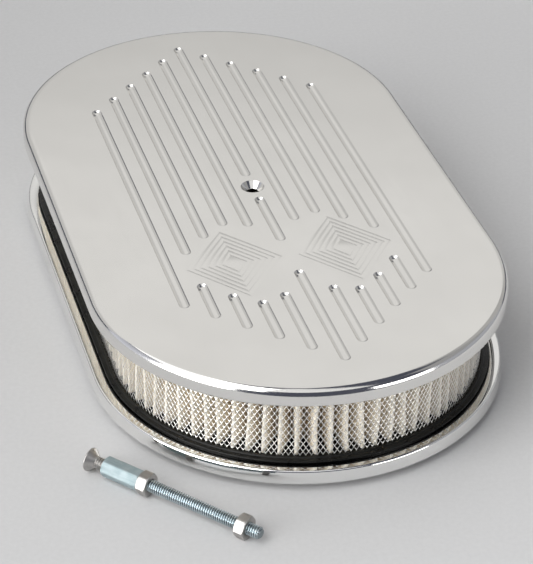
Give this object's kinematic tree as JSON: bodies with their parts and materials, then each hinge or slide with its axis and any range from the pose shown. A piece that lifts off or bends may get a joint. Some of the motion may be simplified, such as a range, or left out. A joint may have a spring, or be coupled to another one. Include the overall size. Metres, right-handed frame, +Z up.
{
  "type": "carburetor air cleaner",
  "caption": "Oval carburetor air cleaner: grooved metal lid and shallow metal base clamp a pleated ring filter with wire screens; its clamping stud set lies beside it.",
  "frame": {"origin": "centre of the throat bore, in the plane of the pad on the base's underside, which is the floor it rests on", "axes": "+Z up through the throat and the lid's screw hole, +Y along the length of the oval and its grooves, +X across it"},
  "size_m": [0.2343, 0.411, 0.0602],
  "materials": {
    "lid_aluminium": "polished",
    "base_aluminium": "mirror polished",
    "seal_rubber": "moulded urethane, satin",
    "gasket_rubber": "matt",
    "filter_paper": "pleated, matt",
    "screen_metal": "expanded metal, satin",
    "stainless": "bright stainless",
    "blue_zinc": "clear blue zinc plate",
    "stud_zinc": "zinc plate on rolled thread"
  },
  "bodies": {
    "base": {"base": "base_aluminium", "neck_gasket": "gasket_rubber", "coupling_nut": "blue_zinc", "stud": "stud_zinc"},
    "element": {"bottom_seal": "seal_rubber", "pleated_media": "filter_paper", "outer_screen": "screen_metal", "inner_screen": "screen_metal", "top_seal": "seal_rubber"},
    "lid": {"lid": "lid_aluminium"},
    "cover_screw": {"cover_screw": "stainless"},
    "jam_nut": {"jam_nut": "stainless"},
    "lower_nut": {"lower_nut": "stainless"}
  },
  "joints": [
    {"name": "element_lift", "type": "slide", "parent": "base", "child": "element", "axis": [0, 0, 1], "range_m": [0, 0.09]},
    {"name": "lid_lift", "type": "slide", "parent": "element", "child": "lid", "axis": [0, 0, 1], "range_m": [0, 0.08]},
    {"name": "cover_screw_out", "type": "slide", "parent": "base", "child": "cover_screw", "axis": [-0.6508, 0.7593, 0.0059], "range_m": [0, 0.03]},
    {"name": "jam_nut_run", "type": "slide", "parent": "base", "child": "jam_nut", "axis": [0.6508, -0.7593, -0.0059], "range_m": [0, 0.02]},
    {"name": "lower_nut_run", "type": "slide", "parent": "base", "child": "lower_nut", "axis": [0.6508, -0.7593, -0.0059], "range_m": [-0.02, 0.02]}
  ]
}
